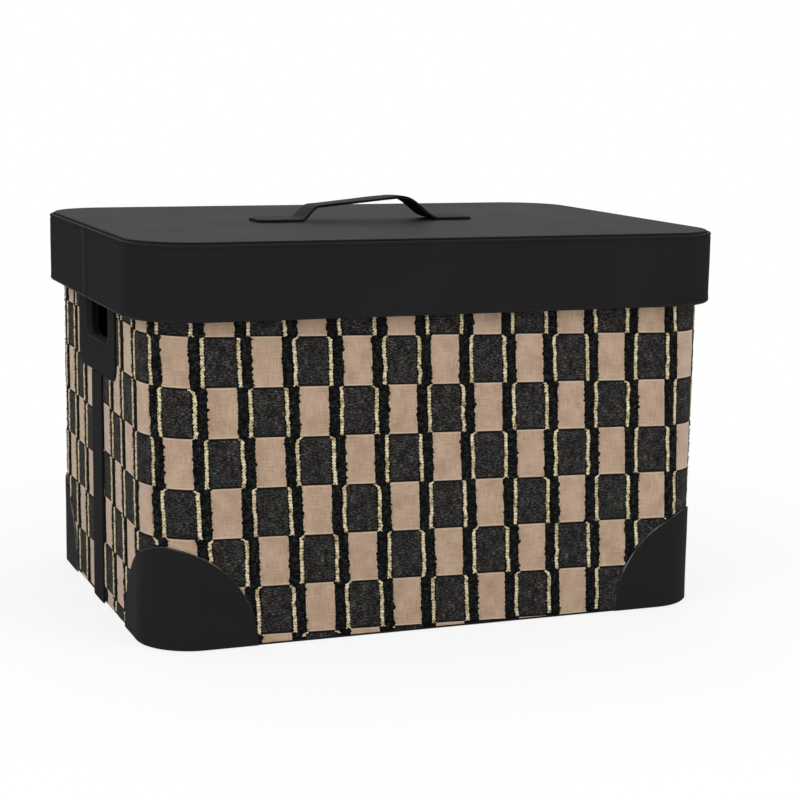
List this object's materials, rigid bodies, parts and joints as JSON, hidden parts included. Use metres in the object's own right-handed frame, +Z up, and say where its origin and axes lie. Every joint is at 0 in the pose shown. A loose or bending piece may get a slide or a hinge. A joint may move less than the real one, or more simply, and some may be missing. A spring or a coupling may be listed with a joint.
{
  "type": "storage box with lid",
  "caption": "Rounded storage box in checked woven cloth with leather corner guards, end straps and hand holes, closed by a lift-off leather lid with a strap handle.",
  "frame": {"origin": "on the floor under the middle of the box", "axes": "+Z up, +X along the length towards the right end, -Y out of the front"},
  "size_m": [0.46, 0.34, 0.3103],
  "materials": {
    "leather": "smooth matte black, fine grain",
    "cloth": "checked weave in tan and charcoal with tufted black and cream edges",
    "lining": "plain woven lining",
    "board": "raw pressed fibre board",
    "card": "grey card",
    "base_sheet": "dark non-woven sheet"
  },
  "bodies": {
    "box": {"base_cover": "base_sheet", "base_board": "board", "base_pad": "lining", "wall_board_front": "board", "wall_board_back": "board", "wall_board_left": "board", "wall_board_right": "board", "wall_corner_back_right": "board", "wall_corner_back_left": "board", "wall_corner_front_left": "board", "wall_corner_front_right": "board", "outer_cloth": "cloth", "wall_lining": "lining", "rim_binding": "leather", "end_patch_left": "leather", "end_patch_right": "leather", "hand_hole_edge_left": "leather", "hand_hole_edge_right": "leather", "end_strap_left": "leather", "end_strap_right": "leather", "corner_guard_back_right": "leather", "corner_guard_back_left": "leather", "corner_guard_front_left": "leather", "corner_guard_front_right": "leather"},
    "lid": {"lid_board": "board", "lid_top_card": "card", "lid_skirt_board_front": "board", "lid_skirt_board_back": "board", "lid_skirt_board_left": "board", "lid_skirt_board_right": "board", "lid_skirt_corner_back_right": "board", "lid_skirt_corner_back_left": "board", "lid_skirt_corner_front_left": "board", "lid_skirt_corner_front_right": "board", "lid_top_cover": "leather", "lid_skirt_cover": "leather", "lid_top_lining": "lining", "lid_skirt_lining": "lining", "handle_backing": "leather", "handle_strap": "leather"}
  },
  "joints": [
    {"name": "lid_lift", "type": "slide", "parent": "box", "child": "lid", "axis": [0, 0, 1], "range_m": [0, 0.14]}
  ]
}
